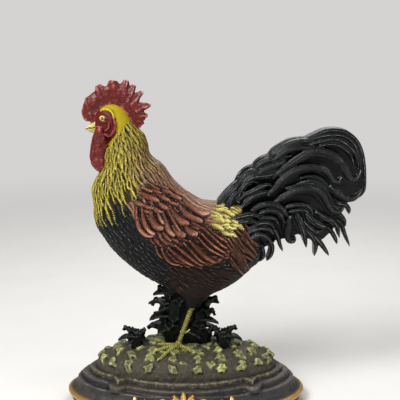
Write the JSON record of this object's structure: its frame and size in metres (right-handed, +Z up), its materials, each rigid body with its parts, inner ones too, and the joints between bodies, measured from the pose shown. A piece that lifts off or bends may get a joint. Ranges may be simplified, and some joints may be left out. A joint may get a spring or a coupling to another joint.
{
  "type": "cockerel figure",
  "caption": "Free-standing painted cast cockerel ornament with a plume of sickle feathers, on a grass mound and a moulded cartouche plinth.",
  "frame": {"origin": "middle of the felt under the plinth, on the surface that the ornament stands on", "axes": "+Z up, the bird faces -X, its left side and the front of the plinth face -Y"},
  "size_m": [0.3041, 0.1493, 0.3285],
  "materials": {
    "felt": "dense dark felt",
    "plinth_paint": "worn charcoal paint over cast iron, gilt bead",
    "grass_paint": "charcoal ground with dry-brushed yellow-green grass",
    "gilding": "worn gold paint",
    "fern_paint": "black-green paint, dry-brushed on the ridges",
    "leg_paint": "olive-yellow paint with dark rings",
    "plumage_paint": "hand-painted plumage, matt, dark in the grooves",
    "comb_paint": "red paint on a pebbled casting",
    "tail_paint": "blue-black paint with grey ridges",
    "fastener_steel": "plain steel"
  },
  "bodies": {
    "root": {"felt_pad": "felt", "plinth": "plinth_paint", "mound": "grass_paint", "mound_screws": "fastener_steel", "front_ornament": "gilding", "fern_support": "fern_paint", "fern_sprig_left": "fern_paint", "fern_sprig_right": "fern_paint", "leg_left": "leg_paint", "leg_right": "leg_paint", "body_shell_left": "plumage_paint", "body_shell_right": "plumage_paint", "shell_screws": "fastener_steel", "shell_pins": "fastener_steel", "comb": "comb_paint", "comb_pin": "fastener_steel", "wattle_left": "comb_paint", "wattle_right": "comb_paint", "tail_left": "tail_paint", "tail_right": "tail_paint", "tail_pin": "fastener_steel", "tail_dowels": "fastener_steel", "tie_rod": "fastener_steel", "tie_rod_nut": "fastener_steel", "tie_rod_washers": "fastener_steel"}
  },
  "joints": []
}
